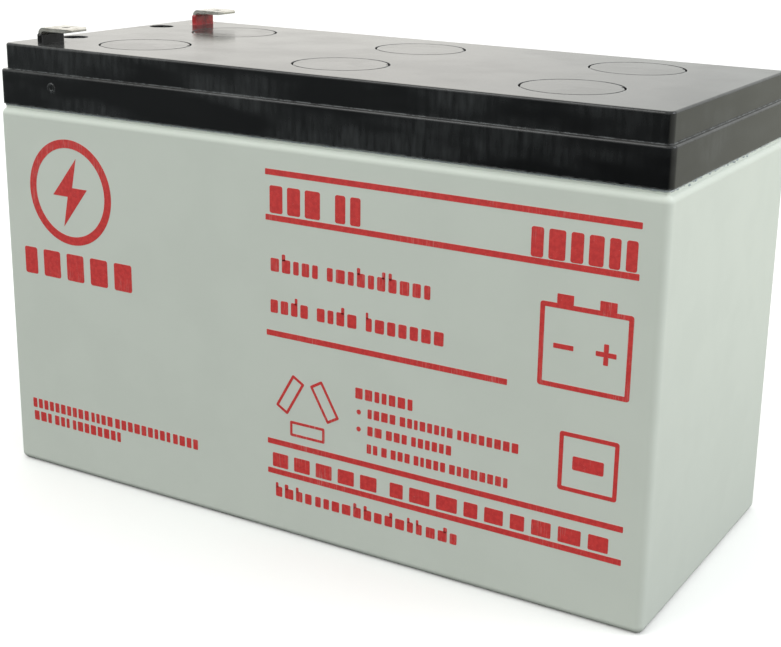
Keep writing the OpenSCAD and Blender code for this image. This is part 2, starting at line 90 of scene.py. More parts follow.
class Desk:
    """Lays out and links the nodes of one shader tree."""

    def __init__(self, tree: bpy.types.NodeTree) -> None:
        """Takes the tree to work in.

        Args:
            tree: A material's, a world's or a group's node tree.
        """
        self.tree = tree

    def node(self, kind: str, **settings: object) -> bpy.types.Node:
        """Adds a node.

        Args:
            kind: The node's type, without the ShaderNode that it starts with.
            **settings: Properties of the node and their values.

        Returns:
            The new node.
        """
        made = self.tree.nodes.new("ShaderNode" + kind)
        for name, value in settings.items():
            setattr(made, name, value)
        return made

    def feed(self, node: bpy.types.Node, into: Union[str, int], source: Source) -> None:
        """Links a socket to an input, or sets a plain value on it.

        Args:
            node: The node that takes the input.
            into: The input's name or number.
            source: An output socket, a number or a colour.
        """
        target = node.inputs[into]
        if isinstance(source, Socket):
            self.tree.links.new(source, target)
        else:
            target.default_value = source

    def math(self, operation: str, first: Source, second: Source = 0.0) -> Socket:
        """Works out one sum.

        Args:
            operation: Blender's name for the operation.
            first: The first number or socket.
            second: The second number or socket.

        Returns:
            The result's socket.
        """
        node = self.node("Math", operation=operation)
        self.feed(node, 0, first)
        if len(node.inputs) > 1:
            self.feed(node, 1, second)
        return node.outputs[0]

    def product(self, first: Source, second: Source) -> Socket:
        """Multiplies two numbers or sockets."""
        return self.math("MULTIPLY", first, second)

    def total(self, first: Source, second: Source) -> Socket:
        """Adds two numbers or sockets."""
        return self.math("ADD", first, second)

    def away(self, value: Source, middle: float) -> Socket:
        """How far a value is from a middle, either way."""
        return self.math("ABSOLUTE", self.math("SUBTRACT", value, middle))

    def split(self, vector: Source) -> bpy.types.bpy_prop_collection:
        """Splits a vector into its outputs X, Y and Z."""
        node = self.node("SeparateXYZ")
        self.feed(node, 0, vector)
        return node.outputs

    def rise(self, value: Source, low: Source, high: Source) -> Socket:
        """Turns a value into a smooth step from 0 at low to 1 at high.

        Args:
            value: What is measured.
            low: Where the step starts.
            high: Where the step ends.

        Returns:
            The step's socket.
        """
        node = self.node("MapRange", interpolation_type="SMOOTHSTEP")
        self.feed(node, "Value", value)
        self.feed(node, "From Min", low)
        self.feed(node, "From Max", high)
        return node.outputs[0]

    def blend(self, share: Source, first: Source, second: Source) -> Socket:
        """Mixes two colours.

        Args:
            share: How much of the second colour shows, from 0 to 1.
            first: The first colour.
            second: The second colour.

        Returns:
            The mixed colour's socket.
        """
        node = self.node("Mix", data_type="RGBA")
        self.feed(node, 0, share)
        self.feed(node, 6, first)
        self.feed(node, 7, second)
        return node.outputs[2]

    def place(self) -> Socket:
        """The point's place on the object, in metres."""
        return self.node("TexCoord").outputs["Object"]

    def stretch(self, vector: Source, scale: Point2, turn: float = 0.0) -> Socket:
        """Turns a place about Y and scales it, so that a pattern runs in streaks.

        Args:
            vector: The place.
            scale: Scale across the streaks and along them.
            turn: Angle of the streaks from the vertical, in radians.

        Returns:
            The new place's socket.
        """
        node = self.node("Mapping")
        self.feed(node, "Vector", vector)
        node.inputs["Rotation"].default_value = (0, turn, 0)
        node.inputs["Scale"].default_value = (scale[0], scale[0], scale[1])
        return node.outputs[0]

    def noise(self, vector: Source, size: Source, detail: float = 3.0) -> Socket:
        """Adds cloudy noise.

        Args:
            vector: The place at which the noise is read.
            size: Size of one cloud in millimetres, as a number or a socket.
            detail: Number of finer layers.

        Returns:
            The noise's socket, from 0 to 1 and mostly near one half.
        """
        node = self.node("TexNoise")
        self.feed(node, "Vector", vector)
        self.feed(node, "Scale", self.math("DIVIDE", 1 / MM, size))
        self.feed(node, "Detail", detail)
        return node.outputs[0]


def shared(desk: Desk, name: str, build: Callable[[Desk, Sockets], Socket], **values: float) -> Socket:
    """Puts a shared effect into a material, and builds its node group at its first use.

    Args:
        desk: The material's desk.
        name: The group's name.
        build: Takes the group's desk and its inputs, and returns the socket of its result.
        **values: The group's inputs, and their values in this material.

    Returns:
        The result's socket.
    """
    tree = bpy.data.node_groups.get(name)
    if tree is None:
        tree = bpy.data.node_groups.new(name, "ShaderNodeTree")
        for label, value in values.items():
            socket = tree.interface.new_socket(name=label, in_out="INPUT", socket_type="NodeSocketFloat")
            socket.default_value = value
        entry = tree.nodes.new("NodeGroupInput")
        result = build(Desk(tree), {label: entry.outputs[label] for label in values})
        tree.interface.new_socket(name="result", in_out="OUTPUT", socket_type="NodeSocketFloat")
        tree.links.new(result, tree.nodes.new("NodeGroupOutput").inputs["result"])
    node = desk.node("Group", node_tree=tree)
    for label, value in values.items():
        node.inputs[label].default_value = value
    return node.outputs["result"]


class Effects:
    """The shader effects that several finishes share, each one a node group."""

    @staticmethod
    def grain(desk: Desk, size: float, height: float, wave: float,
              wave_height: float) -> Socket:
        """Fine moulded grain over slow waves.

        Args:
            desk: The material's desk.
            size: Size of one grain, in millimetres.
            height: Height of the grain, in millimetres.
            wave: Length of the slow waves, in millimetres.
            wave_height: Height of the slow waves, in millimetres.

        Returns:
            The surface's height, in millimetres.
        """

        def build(inside: Desk, given: Sockets) -> Socket:
            """Lays out the grain group."""
            place = inside.place()
            fine = inside.noise(place, given["size"], 2.0)
            slow = inside.noise(place, given["wave"], 1.0)
            grains = inside.product(fine, given["height"])
            waves = inside.product(slow, given["wave_height"])
            return inside.total(grains, waves)

        return shared(desk, "grain", build, size=size, height=height, wave=wave, wave_height=wave_height)

    @staticmethod
    def clouds(desk: Desk, size: float, low: float, high: float) -> Socket:
        """Soft patches, such as handling marks and uneven colour.

        Args:
            desk: The material's desk.
            size: Size of one patch, in millimetres.
            low: Noise value at which a patch starts.
            high: Noise value at which a patch is full.

        Returns:
            A mask from 0 to 1.
        """

        def build(inside: Desk, given: Sockets) -> Socket:
            """Lays out the clouds group."""
            noise = inside.noise(inside.place(), given["size"], 4.0)
            return inside.rise(noise, given["low"], given["high"])

        return shared(desk, "clouds", build, size=size, low=low, high=high)

    @staticmethod
    def streaks(desk: Desk, width: float, amount: float) -> Socket:
        """Fine rubbed lines, most of them near the vertical, in loose patches.

        Args:
            desk: The material's desk.
            width: Width of one line, in millimetres.
            amount: Strength of the lines, from 0 to 1.

        Returns:
            A mask from 0 to 1.
        """

        def build(inside: Desk, given: Sockets) -> Socket:
            """Lays out the streaks group."""
            place = inside.place()
            upright = inside.noise(inside.stretch(place, (1, 0.03), 0.12), given["width"], 2.0)
            slanted = inside.noise(inside.stretch(place, (1, 0.04), -0.5), given["width"], 1.0)
            lines = inside.math("MAXIMUM", inside.rise(upright, 0.6, 0.72),
                                inside.rise(slanted, 0.68, 0.76))
            patches = inside.rise(inside.noise(place, 14.0, 2.0), 0.42, 0.66)
            return inside.product(inside.product(lines, patches), given["amount"])

        return shared(desk, "streaks", build, width=width, amount=amount)

    @staticmethod
    def smudges_and_sheen(desk: Desk, size: float, amount: float) -> Socket:
        """Broad soft wipes, as a hand leaves them on a polished face, that also paint a soft band of
        sheen.

        Args:
            desk: The material's desk.
            size: Width of one wipe or band of sheen, in millimetres.
            amount: Strength of the wipes and sheen, from 0 to 1.

        Returns:
            A mask from 0 to 1.
        """

        def build(inside: Desk, given: Sockets) -> Socket:
            """Lays out the group of smudges and painted sheen."""
            place = inside.place()
            smudged_and_sheen = inside.noise(inside.stretch(place, (0.3, 1), 0.06), given["size"], 2.0)
            broken = inside.noise(inside.stretch(place, (1, 0.2), 0.2), 1.2, 3.0)
            soft = inside.product(inside.rise(smudged_and_sheen, 0.4, 0.7), inside.rise(broken, 0.1, 0.9))
            return inside.product(soft, given["amount"])

        return shared(desk, "smudges_and_sheen", build, size=size, amount=amount)

    @staticmethod
    def dust(desk: Desk, size: float, amount: float) -> Socket:
        """Specks of dust on what faces up.

        Args:
            desk: The material's desk.
            size: Size of one speck, in millimetres.
            amount: Strength of the dust, from 0 to 1.

        Returns:
            A mask from 0 to 1.
        """

        def build(inside: Desk, given: Sockets) -> Socket:
            """Lays out the dust group."""
            facing = inside.split(inside.node("NewGeometry").outputs["Normal"])
            up = inside.rise(facing["Z"], 0.3, 0.9)
            place = inside.place()
            specks = inside.rise(inside.noise(place, given["size"], 3.0), 0.62, 0.74)
            film = inside.rise(inside.noise(place, 9.0, 3.0), 0.35, 0.75)
            both = inside.total(specks, inside.product(film, 0.35))
            return inside.product(inside.product(both, up), given["amount"])

        return shared(desk, "dust", build, size=size, amount=amount)

    @staticmethod
    def edge_wear_and_highlight(desk: Desk, reach: float, amount: float) -> Socket:
        """Rubbed edges and painted edge highlights, found where a rounded normal leaves the true one.

        Args:
            desk: The material's desk.
            reach: How far the wear and highlight reach from an edge, in millimetres.
            amount: Strength of the wear and highlight, from 0 to 1.

        Returns:
            A mask from 0 to 1.
        """

        def build(inside: Desk, given: Sockets) -> Socket:
            """Lays out the group of edge wear and painted edge highlights."""
            round_edge = inside.node("Bevel", samples=4)
            inside.feed(round_edge, "Radius", inside.product(given["reach"], MM))
            compare = inside.node("VectorMath", operation="DOT_PRODUCT")
            inside.feed(compare, 0, round_edge.outputs[0])
            inside.feed(compare, 1, inside.node("NewGeometry").outputs["Normal"])
            edge = inside.rise(compare.outputs["Value"], 0.995, 0.86)
            broken = inside.rise(inside.noise(inside.place(), 1.4, 4.0), 0.36, 0.6)
            return inside.product(inside.product(edge, broken), given["amount"])

        return shared(desk, "edge_wear_and_highlight", build, reach=reach, amount=amount)


# Finishes


@dataclass(frozen=True)
class Finish:
    """What every finish has: a name, a colour with a second shade, and a gloss."""

    name: str
    colour: Colour
    shade: Colour
    roughness: float = 0.5
    rough_patch: float = 0.6

    def start(self) -> tuple[bpy.types.Material, Desk, bpy.types.Node]:
        """Makes an empty material with its shader.

        Returns:
            The material, its desk and its Principled shader.
        """
        material = bpy.data.materials.new(self.name)
        material.use_nodes = True
        material.node_tree.nodes.clear()
        material.diffuse_color = self.colour
        desk = Desk(material.node_tree)
        shader = desk.node("BsdfPrincipled")
        output = desk.node("OutputMaterial")
        material.node_tree.links.new(shader.outputs[0], output.inputs["Surface"])
        return material, desk, shader

    def relief(self, desk: Desk, shader: bpy.types.Node, height: Socket,
               soften: float = 0.0) -> None:
        """Gives the shader a bumped normal.

        Args:
            desk: The material's desk.
            shader: The shader that takes the normal.
            height: The surface's height, in millimetres.
            soften: Radius to which hard edges look rounded, in millimetres.
        """
        bump = desk.node("Bump")
        bump.inputs["Distance"].default_value = MM
        desk.feed(bump, "Height", height)
        if soften:
            edge = desk.node("Bevel", samples=6)
            edge.inputs["Radius"].default_value = soften * MM
            desk.feed(bump, "Normal", edge.outputs[0])
        desk.feed(shader, "Normal", bump.outputs[0])

    def gloss(self, desk: Desk, shader: bpy.types.Node, mask: Socket) -> None:
        """Lets the roughness follow a mask.

        Args:
            desk: The material's desk.
            shader: The shader that takes the roughness.
            mask: Where the surface is as rough as its patches.
        """
        spread = desk.node("MapRange")
        desk.feed(spread, "Value", mask)
        spread.inputs["To Min"].default_value = self.roughness
        spread.inputs["To Max"].default_value = self.rough_patch
        desk.feed(shader, "Roughness", spread.outputs[0])


@dataclass(frozen=True)
class MouldedPlastic(Finish):
    """An injection-moulded plastic with grain, handling marks, dust and rubbed edges, whose smudges and
    edges also carry painted sheen and painted edge highlights.
    """

    grain: float = 0.25
    grain_height: float = 0.006
    wave: float = 9.0
    wave_height: float = 0.03
    patch: float = 12.0
    streak: float = 0.3
    smudge_and_sheen: float = 0.0
    smudge_and_sheen_size: float = 6.0
    dust: float = 0.15
    dust_colour: Colour = screen(206, 203, 196)
    wear_and_highlight: float = 0.25
    wear_and_highlight_colour: Colour = screen(220, 222, 220)
    soften: float = 0.15
    level: float = 0.5
    sinks: tuple[float, ...] = ()
    sink_depth: float = 0.02
    sink_reach: Point2 = (2.6, 0.2)

    def sink_marks(self, desk: Desk) -> Socket:
        """Shallow upright sinks, where a wall inside meets the face.

        Args:
            desk: The material's desk.

        Returns:
            The depth of the sinks, in millimetres, as a height below zero.
        """
        across = desk.split(desk.place())["X"]
        wide, narrow = self.sink_reach
        total: Source = 0.0
        for x in self.sinks:
            total = desk.total(total, desk.rise(desk.away(across, x * MM), wide * MM, narrow * MM))
        return desk.product(total, -self.sink_depth)

    def build(self) -> bpy.types.Material:
        """Makes the material."""
        material, desk, shader = self.start()
        patches = Effects.clouds(desk, self.patch, 0.36, 0.66)
        rubbed = Effects.streaks(desk, 0.16, self.streak)
        colour = desk.blend(patches, self.colour, self.shade)
        colour = desk.blend(rubbed, colour, self.wear_and_highlight_colour)
        # Smudges and edge lines take the light colour: real wipes and rubbing, and also a painted soft
        # sheen and painted edge highlights.
        smudged_and_sheen = Effects.smudges_and_sheen(desk, self.smudge_and_sheen_size, self.smudge_and_sheen)
        colour = desk.blend(smudged_and_sheen, colour, self.wear_and_highlight_colour)
        colour = desk.blend(Effects.edge_wear_and_highlight(desk, 0.5, self.wear_and_highlight), colour, self.wear_and_highlight_colour)
        settled = Effects.dust(desk, 0.4, self.dust)
        colour = desk.blend(settled, colour, self.dust_colour)
        desk.feed(shader, "Base Color", colour)
        rough = desk.math("MAXIMUM", desk.math("MAXIMUM", patches, rubbed), settled)
        self.gloss(desk, shader, rough)
        height = Effects.grain(desk, self.grain, self.grain_height, self.wave, self.wave_height)
        if self.sinks:
            height = desk.total(height, self.sink_marks(desk))
        self.relief(desk, shader, height, self.soften)
        shader.inputs["Specular IOR Level"].default_value = self.level
        return material


@dataclass(frozen=True)
class CastMetal(Finish):
    """A soft grey cast metal, dull in patches and pitted."""

    pit: float = 0.35
    pit_depth: float = 0.05

    def build(self) -> bpy.types.Material:
        """Makes the material."""
        material, desk, shader = self.start()
        dull = Effects.clouds(desk, 3.0, 0.35, 0.65)
        bright = Effects.edge_wear_and_highlight(desk, 0.4, 0.6)
        colour = desk.blend(dull, self.colour, self.shade)
        colour = desk.blend(bright, colour, screen(190, 192, 196))
        desk.feed(shader, "Base Color", colour)
        self.gloss(desk, shader, dull)
        shader.inputs["Metallic"].default_value = 1.0
        self.relief(desk, shader, Effects.grain(desk, self.pit, self.pit_depth, 4.0, 0.1), 0.1)
        return material


@dataclass(frozen=True)
class PlatedMetal(Finish):
    """A rolled and plated strip: bright, with drawn lines and faint tarnish."""

    tarnish: Colour = screen(176, 166, 148)

    def build(self) -> bpy.types.Material:
        """Makes the material."""
        material, desk, shader = self.start()
        cloud = Effects.clouds(desk, 2.2, 0.4, 0.68)
        drawn = desk.noise(desk.stretch(desk.place(), (0.06, 1.0)), 0.12, 2.0)
        colour = desk.blend(cloud, self.colour, self.shade)
        colour = desk.blend(desk.rise(drawn, 0.58, 0.75), colour, self.tarnish)
        worn = Effects.edge_wear_and_highlight(desk, 0.12, 0.8)
        colour = desk.blend(worn, colour, screen(238, 236, 228))
        desk.feed(shader, "Base Color", colour)
        self.gloss(desk, shader, desk.rise(drawn, 0.35, 0.7))
        shader.inputs["Metallic"].default_value = 1.0
        height = Effects.grain(desk, 0.12, 0.002, 1.6, 0.012)
        self.relief(desk, shader, desk.total(height, desk.product(drawn, 0.003)), 0.08)
        return material


@dataclass(frozen=True)
class PouredResin(Finish):
    """A cast resin with a wet gloss, small bubbles and colour that gathers in patches."""

    bubble: float = 0.5
    coat: float = 0.5
    see_through: float = 0.0

    def build(self) -> bpy.types.Material:
        """Makes the material."""
        material, desk, shader = self.start()
        depth = Effects.clouds(desk, 1.8, 0.38, 0.64)
        colour = desk.blend(depth, self.colour, self.shade)
        colour = desk.blend(Effects.dust(desk, 0.3, 0.12), colour, screen(200, 196, 190))
        desk.feed(shader, "Base Color", colour)
        self.gloss(desk, shader, depth)
        cells = desk.node("TexVoronoi")
        desk.feed(cells, "Vector", desk.place())
        cells.inputs["Scale"].default_value = 1 / (self.bubble * MM)
        pits = desk.rise(cells.outputs["Distance"], 0.16, 0.04)
        height = Effects.grain(desk, 0.5, 0.01, 2.5, 0.06)
        self.relief(desk, shader, desk.math("SUBTRACT", height, desk.product(pits, 0.03)), 0.2)
        shader.inputs["Coat Weight"].default_value = self.coat
        shader.inputs["Coat Roughness"].default_value = 0.08
        shader.inputs["Transmission Weight"].default_value = self.see_through
        return material


@dataclass(frozen=True)
class ScreenInk(Finish):
    """Screen-printed ink: an even film with mottle, pinholes and rubbed lines."""

    ground: Colour = screen(222, 229, 220)

    def build(self) -> bpy.types.Material:
        """Makes the material."""
        material, desk, shader = self.start()
        mottle = Effects.clouds(desk, 0.9, 0.34, 0.66)
        thin = Effects.clouds(desk, 0.22, 0.66, 0.76)
        colour = desk.blend(mottle, self.colour, self.shade)
        faded = desk.product(thin, 0.45)
        colour = desk.blend(faded, colour, self.ground)
        colour = desk.blend(Effects.streaks(desk, 0.14, 0.3), colour, self.ground)
        desk.feed(shader, "Base Color", colour)
        self.gloss(desk, shader, mottle)
        self.relief(desk, shader, Effects.grain(desk, 0.2, 0.006, 3.0, 0.01))
        return material


@dataclass(frozen=True)
class PressedPaste(Finish):
    """Active paste pressed into a cast grid, whose bars show through."""

    bar_pitch: float = 4.0
    grid: Colour = screen(120, 122, 126)

    def build(self) -> bpy.types.Material:
        """Makes the material."""
        material, desk, shader = self.start()
        crumbs = Effects.clouds(desk, 0.7, 0.35, 0.65)
        place = desk.split(desk.place())
        bars: Source = 0.0
        for axis in ("X", "Z"):
            turns = desk.math("DIVIDE", place[axis], self.bar_pitch * MM)
            away = desk.away(desk.math("FRACT", turns), 0.5)
            bars = desk.math("MAXIMUM", bars, desk.rise(away, 0.42, 0.47))
        colour = desk.blend(crumbs, self.colour, self.shade)
        colour = desk.blend(desk.product(bars, 0.6), colour, self.grid)
        desk.feed(shader, "Base Color", colour)
        self.gloss(desk, shader, crumbs)
        height = Effects.grain(desk, 0.25, 0.06, 3.0, 0.05)
        self.relief(desk, shader, desk.total(height, desk.product(bars, 0.08)), 0.1)
        return material


@dataclass(frozen=True)
class FibreMat(Finish):
    """Pressed glass fibre: soft, white and full of fine crossing threads."""

    def build(self) -> bpy.types.Material:
        """Makes the material."""
        material, desk, shader = self.start()
        place = desk.place()
        first = desk.noise(desk.stretch(place, (1, 0.05), 0.7), 0.08, 2.0)
        second = desk.noise(desk.stretch(place, (1, 0.05), -0.9), 0.08, 2.0)
        threads = desk.rise(desk.math("MAXIMUM", first, second), 0.5, 0.75)
        colour = desk.blend(threads, self.shade, self.colour)
        desk.feed(shader, "Base Color", colour)
        self.gloss(desk, shader, threads)
        height = Effects.grain(desk, 0.3, 0.03, 5.0, 0.08)
        self.relief(desk, shader, desk.total(height, desk.product(threads, 0.04)), 0.2)
        shader.inputs["Sheen Weight"].default_value = 0.3
        return material


class Slot(Enum):
    """The record's material slots."""

    CONTAINER = "container_plastic"
    LID = "lid_plastic"
    BOND = "bond_resin"
    COVER = "cover_plastic"
    CAP = "cap_rubber"
    POSITIVE_PASTE = "positive_paste"
    NEGATIVE_PASTE = "negative_paste"
    MAT = "glass_mat"
    LEAD = "cast_lead"
    TAB = "tinned_brass"
    RED_RESIN = "red_resin"
    BLACK_RESIN = "black_resin"
    INK = "red_ink"


GREY_CASE = MouldedPlastic(
    "moulded_grey_case", screen(222, 229, 220), screen(219, 226, 217), 0.42, 0.5,
    grain=0.22, grain_height=0.005, wave=11, wave_height=0.03, patch=15, streak=0.08, dust=0.04,
    wear_and_highlight=0.1, level=0.4, sinks=(-24.65, 24.65))
# Painted highlights: the lid's light edge colour, strong edge share and smudges paint highlights along its
# edges and ledges and a soft band of sheen across its tiers, over real rubbing and wiping.
BLACK_LID = MouldedPlastic(
    "polished_black_lid", screen(9, 10, 11), screen(12, 13, 14), 0.12, 0.17,
    grain=0.5, grain_height=0.0012, wave=9, wave_height=0.01, patch=16, streak=0.015,
    smudge_and_sheen=0.16, smudge_and_sheen_size=7, dust=0.12, wear_and_highlight=0.6, wear_and_highlight_colour=screen(136, 140, 142),
    soften=0.2)
BLACK_COVER = MouldedPlastic(
    "black_vent_cover", screen(11, 12, 13), screen(15, 16, 17), 0.13, 0.19,
    grain=0.4, grain_height=0.0015, wave=6, wave_height=0.01, patch=9, streak=0.02,
    smudge_and_sheen=0.12, dust=0.16, wear_and_highlight=0.3, wear_and_highlight_colour=screen(110, 114, 116), soften=0.12)
VALVE_RUBBER = MouldedPlastic(
    "valve_rubber", screen(30, 30, 31), screen(44, 44, 45), 0.6, 0.75,
    grain=0.15, grain_height=0.01, wave=2, wave_height=0.02, patch=3, streak=0.0, dust=0.1,
    wear_and_highlight=0.2, wear_and_highlight_colour=screen(80, 80, 82), level=0.35)
LEAD = CastMetal("cast_lead", screen(128, 130, 134), screen(84, 86, 90), 0.4, 0.62)
TIN = PlatedMetal("tinned_strip", screen(214, 212, 205), screen(196, 193, 184), 0.2, 0.36)
RED_RESIN = PouredResin("red_seal_resin", screen(190, 44, 48), screen(156, 26, 30), 0.16, 0.3)
BLACK_RESIN = PouredResin("black_seal_resin", screen(7, 7, 8), screen(12, 12, 13), 0.16, 0.3, coat=0.15)
BOND = PouredResin("bond_resin", screen(205, 214, 218), screen(178, 190, 198), 0.2, 0.36,
                   bubble=0.3, see_through=0.25)
INK = ScreenInk("red_print_ink", screen(226, 70, 68), screen(212, 60, 60), 0.36, 0.5)
POSITIVE_PASTE = PressedPaste("brown_positive_paste", screen(74, 46, 38), screen(52, 32, 28), 0.8, 0.95)
NEGATIVE_PASTE = PressedPaste("grey_negative_paste", screen(112, 114, 116), screen(84, 86, 89), 0.7, 0.9)
GLASS_MAT = FibreMat("glass_fibre_mat", screen(236, 236, 230), screen(206, 207, 202), 0.8, 0.95)

FINISHES: dict[Slot, Finish] = {
    Slot.CONTAINER: GREY_CASE,
    Slot.LID: BLACK_LID,
    Slot.BOND: BOND,
    Slot.COVER: BLACK_COVER,
    Slot.CAP: VALVE_RUBBER,
    Slot.POSITIVE_PASTE: POSITIVE_PASTE,
    Slot.NEGATIVE_PASTE: NEGATIVE_PASTE,
    Slot.MAT: GLASS_MAT,
    Slot.LEAD: LEAD,
    Slot.TAB: TIN,
    Slot.RED_RESIN: RED_RESIN,
    Slot.BLACK_RESIN: BLACK_RESIN,
    Slot.INK: INK,
}


class Paintshop:
    """Makes each finish once and puts it on nodes and pieces."""

    def __init__(self) -> None:
        """Makes every material."""
        self.materials = {slot: finish.build() for slot, finish in FINISHES.items()}

    def paint(self, piece: bpy.types.Object, slot: Slot) -> None:
        """Gives an object one finish all over.

        Args:
            piece: A CAD node's object or a new piece.
            slot: The finish's slot.
        """
        if not piece.material_slots:
            piece.data.materials.append(self.materials[slot])
        for place in piece.material_slots:
            place.material = self.materials[slot]


# Mesh work


class Shape:
    """Points and faces that grow into one mesh object."""

    def __init__(self, name: str) -> None:
        """Starts an empty shape.

        Args:
            name: Name of the piece.
        """
        self.name = name
        self.points: list[Vector] = []
        self.faces: list[tuple[int, ...]] = []

    def loop(self, points: Iterable[Vector]) -> list[int]:
        """Adds points and returns their numbers.

        Args:
            points: Points in metres.

        Returns:
            The new points' numbers, in order.
        """
        first = len(self.points)
        self.points.extend(points)
        return list(range(first, len(self.points)))

    def skin(self, loops: Sequence[Sequence[int]], closed: bool = False) -> None:
        """Joins each loop to the next with a band of faces.

        Args:
            loops: Loops with as many points each.
            closed: Whether the last loop joins the first.
        """
        following = list(loops[1:]) + ([loops[0]] if closed else [])
        for low, high in zip(loops, following):
            count = len(low)
            for i in range(count):
                j = (i + 1) % count
                self.faces.append((low[i], low[j], high[j], high[i]))

    def cap(self, loop: Sequence[int], turned: bool = False) -> None:
        """Closes a loop with one face.

        Args:
            loop: The loop's point numbers.
            turned: Whether the face looks the other way.
        """
        self.faces.append(tuple(reversed(loop)) if turned else tuple(loop))

    def finish(self, smooth: bool = False) -> bpy.types.Object:
        """Makes the object, with its faces turned outwards.

        Args:
            smooth: Whether its faces are shaded smooth.

        Returns:
            The object, linked to the scene.
        """
        mesh = bpy.data.meshes.new(self.name)
        mesh.from_pydata([tuple(point) for point in self.points], [], self.faces)
        work = bmesh.new()
        work.from_mesh(mesh)
        bmesh.ops.recalc_face_normals(work, faces=work.faces)
        work.to_mesh(mesh)
        work.free()
        for polygon in mesh.polygons:
            polygon.use_smooth = smooth
        piece = bpy.data.objects.new(self.name, mesh)
        bpy.context.scene.collection.objects.link(piece)
        return piece


def round_rect(length: float, width: float, radius: float, steps: int) -> list[Point2]:
    """Outlines a rectangle with round corners about the origin.

    Args:
        length: Size along the first axis.
        width: Size along the second axis.
        radius: Radius of the corners.
        steps: Number of points on each corner, less one.

    Returns:
        The points, anticlockwise.
    """
    outline = []
    corners = [(1, 1), (-1, 1), (-1, -1), (1, -1)]
    for quarter, (across, up) in enumerate(corners):
        centre = (across * (length / 2 - radius), up * (width / 2 - radius))
        for step in range(steps + 1):
            angle = (quarter + step / steps) * math.pi / 2
            outline.append((centre[0] + radius * math.cos(angle), centre[1] + radius * math.sin(angle)))
    return outline


def circle(radius: float, sides: int) -> list[Point2]:
    """Outlines a circle about the origin, anticlockwise."""
    turns = [2 * math.pi * side / sides for side in range(sides)]
    return [(radius * math.cos(turn), radius * math.sin(turn)) for turn in turns]


def moved(outline: Iterable[Point2], x: float, z: float) -> list[Point2]:
    """Moves an outline so that its origin comes to x and z."""
    return [(x + a, z + b) for a, b in outline]


# Front print


@dataclass(frozen=True)
class PrintRow:
    """A row of plain blocks in place of print, in millimetres.

    The pitch is from one block to the next, and the words are the lengths of its groups.
    Capital rows have blocks of one height. The others have lower blocks, some with a stem.
    """

    x: float
    z: float
    height: float
    pitch: float
    words: tuple[float, ...]
    capital: bool = True
    word_gap: float = 1.0


